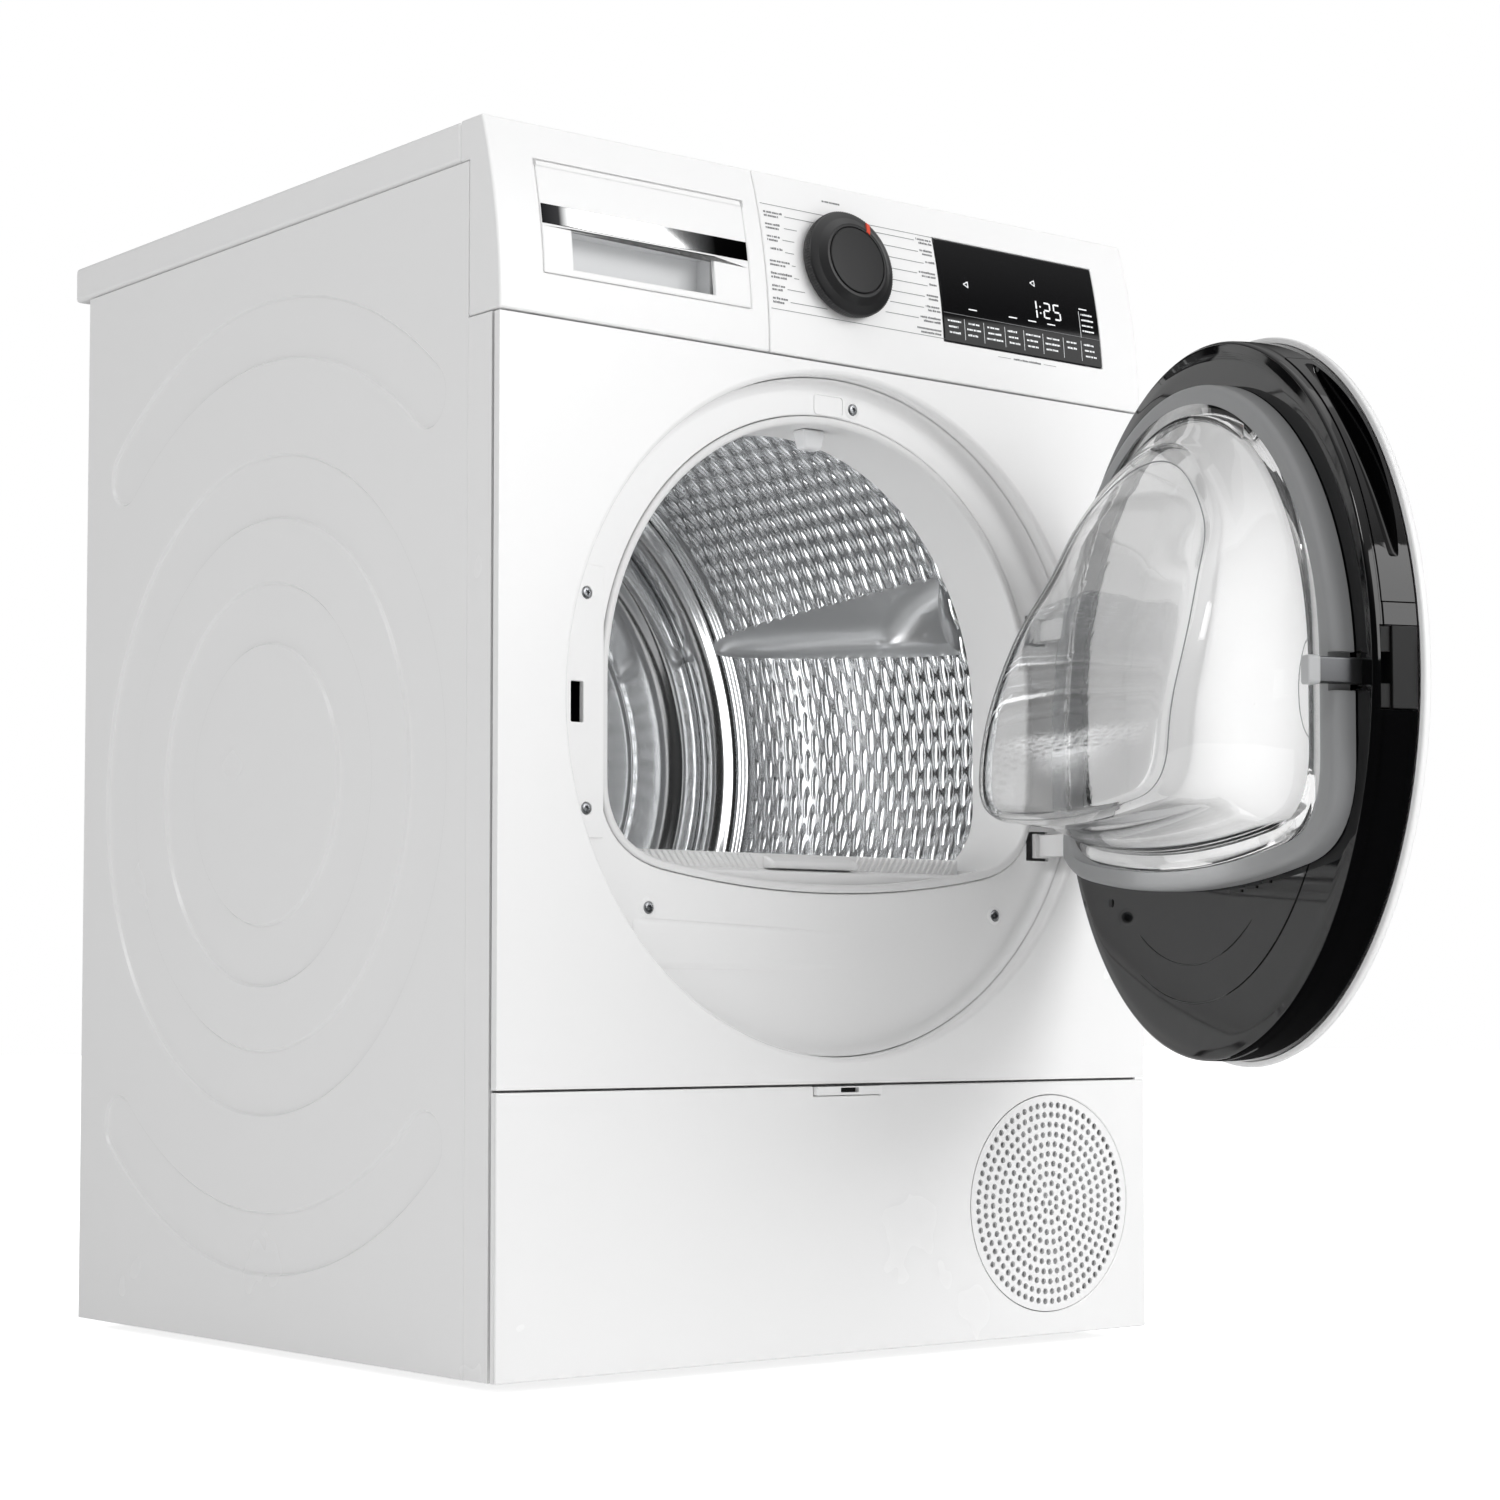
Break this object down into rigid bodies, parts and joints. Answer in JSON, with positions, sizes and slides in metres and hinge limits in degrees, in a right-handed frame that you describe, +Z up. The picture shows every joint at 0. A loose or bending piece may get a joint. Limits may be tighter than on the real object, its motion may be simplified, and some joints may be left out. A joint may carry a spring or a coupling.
{
  "type": "tumble dryer",
  "caption": "Free-standing front-loading heat pump tumble dryer with a round porthole door, a container drawer, a rotary selector, a service flap and a steel drum.",
  "frame": {"origin": "middle of the flat underside of the base tray; the feet reach 7 mm below it", "axes": "+X to the machine's right as seen from in front, +Y to the back, +Z up; the front faces -Y"},
  "size_m": [0.598, 1.0695, 0.842],
  "materials": {
    "enamel": "gloss white enamel",
    "white_plastic": "satin white moulding",
    "grey_plastic": "satin grey moulding",
    "black_gloss": "high gloss black",
    "black_plastic": "matt black",
    "stainless": "polished stainless, embossed",
    "zinc_plate": "zinc plated sheet",
    "rubber": "matt black",
    "chrome": "mirror bright",
    "display_glass": "gloss black window",
    "charcoal": "satin charcoal",
    "grey_rubber": "matt grey",
    "clear_glass": "clear, moulded",
    "lens": "translucent white",
    "felt": "pressed felt",
    "lifter_plastic": "satin grey"
  },
  "bodies": {
    "cabinet": {"side_panel_left": "enamel", "side_panel_right": "enamel", "front_frame": "enamel", "front_panel": "enamel", "top_cover": "enamel", "door_surround": "white_plastic", "latch_plate": "white_plastic", "fascia_drawer_section": "white_plastic", "fascia_control_section": "white_plastic", "front_bulkhead": "grey_plastic", "fan_housing": "grey_plastic", "base_tray": "black_plastic", "latch_catch": "black_plastic", "power_inlet": "black_plastic", "control_module": "black_plastic", "drive_motor": "black_plastic", "compressor": "black_plastic", "condensate_pump": "black_plastic", "rear_panel": "zinc_plate", "rear_duct_cover": "zinc_plate", "hinge_bracket_upper": "zinc_plate", "hinge_bracket_lower": "zinc_plate", "rear_crossmember": "zinc_plate", "evaporator": "zinc_plate", "condenser": "zinc_plate", "foot_front_left": "rubber", "foot_front_right": "rubber", "foot_rear_left": "rubber", "foot_rear_right": "rubber", "drum_belt": "rubber", "condensate_hose": "rubber", "display_window": "display_glass", "lamp_lens": "lens", "front_seal": "felt"},
    "door": {"door_cover": "white_plastic", "door_frame": "black_gloss", "door_handle": "black_gloss", "door_gasket": "grey_rubber", "door_bowl": "clear_glass", "latch_hook": "zinc_plate", "hinge_arm_upper": "zinc_plate", "hinge_arm_lower": "zinc_plate"},
    "drum": {"drum_shell": "stainless", "drum_rear_wall": "stainless", "lifter_1": "lifter_plastic", "lifter_2": "lifter_plastic", "lifter_3": "lifter_plastic"},
    "motor_rotor": {"motor_rotor": "stainless"},
    "tension_arm": {"tension_arm": "zinc_plate"},
    "tension_pulley": {"tension_pulley": "black_plastic"},
    "roller_left": {"support_roller_left": "black_plastic"},
    "roller_right": {"support_roller_right": "black_plastic"},
    "knob": {"knob": "charcoal"},
    "drawer": {"drawer_front": "white_plastic", "chrome_strip": "chrome", "container_tank": "grey_plastic"},
    "lint_filter": {"lint_filter": "white_plastic"},
    "service_flap": {"service_flap": "enamel", "intake_grille": "white_plastic"},
    "flap_latch": {"flap_latch": "white_plastic"}
  },
  "joints": [
    {"name": "door_hinge", "type": "hinge", "parent": "cabinet", "child": "door", "pos_m": [0.228, -0.322, 0.45], "axis": [0, 0, 1], "range_deg": [-68.3, 30]},
    {"name": "drum_spin", "type": "hinge", "parent": "cabinet", "child": "drum", "pos_m": [0, 0, 0.45], "axis": [0, 1, 0], "continuous": true},
    {"name": "motor_spin", "type": "hinge", "parent": "cabinet", "child": "motor_rotor", "pos_m": [-0.2, 0.06, 0.078], "axis": [0, 1, 0], "continuous": true},
    {"name": "tension_swing", "type": "hinge", "parent": "cabinet", "child": "tension_arm", "pos_m": [-0.06, 0.07, 0.05], "axis": [0, 1, 0], "range_deg": [-6, 0], "stiffness_Nm_per_rad": 6, "springref_deg": 5.73},
    {"name": "tension_pulley_spin", "type": "hinge", "parent": "tension_arm", "child": "tension_pulley", "pos_m": [-0.1034, 0.06, 0.0821], "axis": [0, 1, 0], "continuous": true},
    {"name": "roller_left_spin", "type": "hinge", "parent": "cabinet", "child": "roller_left", "pos_m": [-0.14338, -0.196, 0.18035], "axis": [0, 1, 0], "continuous": true},
    {"name": "roller_right_spin", "type": "hinge", "parent": "cabinet", "child": "roller_right", "pos_m": [0.14338, -0.196, 0.18035], "axis": [0, 1, 0], "continuous": true},
    {"name": "knob_turn", "type": "hinge", "parent": "cabinet", "child": "knob", "pos_m": [0.003, -0.29382, 0.7727], "axis": [0, -0.9856, 0.1692], "continuous": true},
    {"name": "drawer_slide", "type": "slide", "parent": "cabinet", "child": "drawer", "axis": [0, -1, 0], "range_m": [0, 0.33]},
    {"name": "filter_lift", "type": "slide", "parent": "cabinet", "child": "lint_filter", "axis": [0, 0, 1], "range_m": [0, 0.15]},
    {"name": "flap_hinge", "type": "hinge", "parent": "cabinet", "child": "service_flap", "pos_m": [0, -0.296, 0.004], "axis": [1, 0, 0], "range_deg": [0, 88]},
    {"name": "flap_latch_press", "type": "slide", "parent": "service_flap", "child": "flap_latch", "axis": [0, 1, 0], "range_m": [0, 0.003], "stiffness_N_per_m": 500}
  ],
  "couplings": [
    {"joint": "motor_spin", "follows": "drum_spin", "ratio": 24.6},
    {"joint": "tension_pulley_spin", "follows": "drum_spin", "ratio": -16.9},
    {"joint": "roller_left_spin", "follows": "drum_spin", "ratio": -15.94},
    {"joint": "roller_right_spin", "follows": "drum_spin", "ratio": -15.94}
  ]
}
